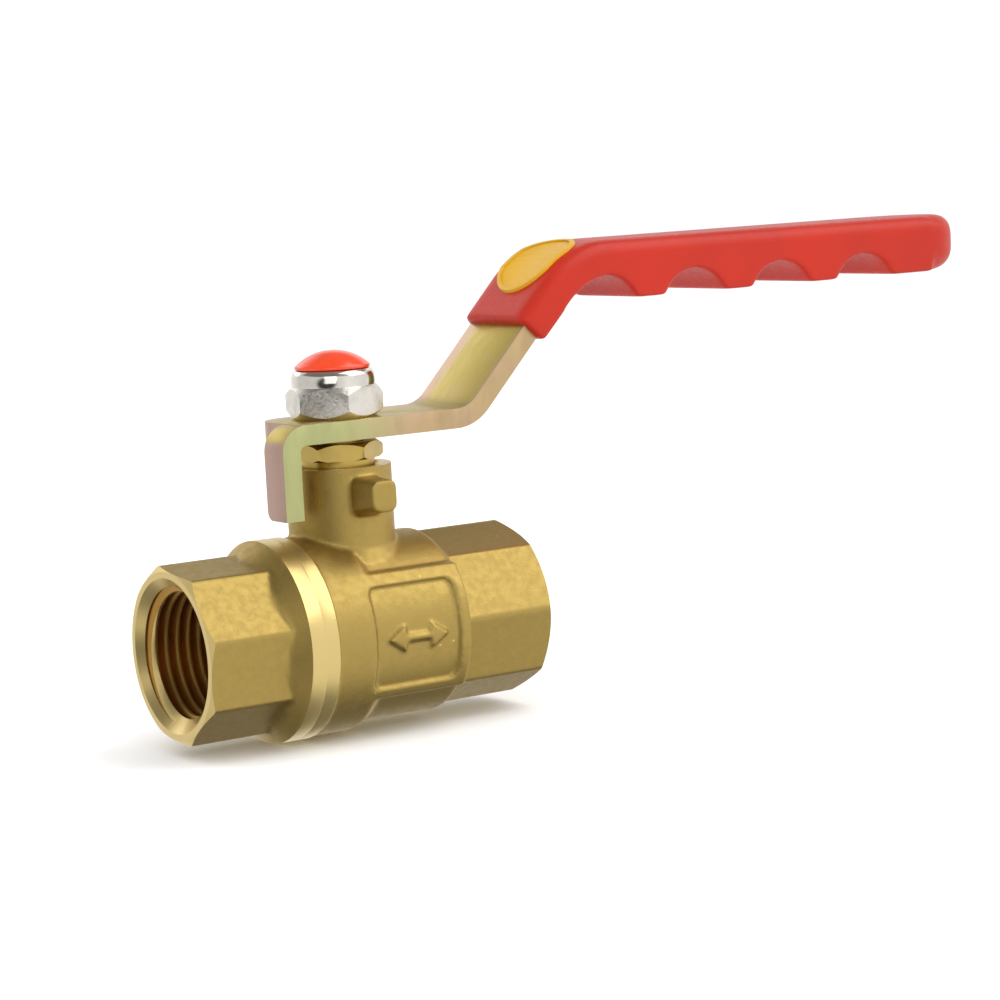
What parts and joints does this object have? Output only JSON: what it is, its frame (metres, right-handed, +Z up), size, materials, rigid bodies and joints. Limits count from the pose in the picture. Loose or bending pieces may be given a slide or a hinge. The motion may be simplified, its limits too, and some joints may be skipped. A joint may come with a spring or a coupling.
{
  "type": "ball valve",
  "caption": "Quarter-turn brass ball valve with threaded female ends, packed stem, stop lugs and a cranked steel lever in a finger-grooved sleeve.",
  "frame": {"origin": "on the pipe axis where the full thread begins in the inlet port, 2.2 mm inside the inlet face", "axes": "+X along the pipe from inlet to outlet and towards the lever's tip when open, +Z up the stem"},
  "size_m": [0.1516, 0.0304, 0.0715],
  "materials": {
    "cast_brass": "sand-blasted forging",
    "turned_brass": "turned",
    "chromed_ball": "polished",
    "ptfe": "waxy",
    "seal_rubber": "satin",
    "passivated_steel": "yellow passivated zinc",
    "red_vinyl": "soft satin",
    "yellow_plastic": "gloss",
    "plated_nut": "nickel plate",
    "white_nylon": "matte",
    "red_plastic": "gloss"
  },
  "bodies": {
    "housing": {"valve_body": "cast_brass", "end_cap": "cast_brass", "joint_seal": "ptfe", "inlet_seat": "ptfe", "outlet_seat": "ptfe", "lower_packing_ring": "ptfe", "upper_packing_ring": "ptfe", "packing_follower": "turned_brass", "gland_nut": "turned_brass"},
    "ball": {"ball": "chromed_ball"},
    "handle": {"stem": "turned_brass", "thrust_washer": "ptfe", "lower_o_ring": "seal_rubber", "upper_o_ring": "seal_rubber", "lever": "passivated_steel", "lever_grip": "red_vinyl", "grip_badge": "yellow_plastic", "handle_nut": "plated_nut", "nut_lock_ring": "white_nylon", "nut_cap": "red_plastic"}
  },
  "joints": [
    {"name": "handle_turn", "type": "hinge", "parent": "housing", "child": "handle", "pos_m": [0.02782, 0, 0.02], "axis": [0, 0, -1], "range_deg": [0, 90]},
    {"name": "ball_turn", "type": "hinge", "parent": "housing", "child": "ball", "pos_m": [0.02782, 0, 0], "axis": [0, 0, -1], "range_deg": [0, 90]}
  ],
  "couplings": [
    {"joint": "ball_turn", "follows": "handle_turn", "ratio": 1}
  ]
}
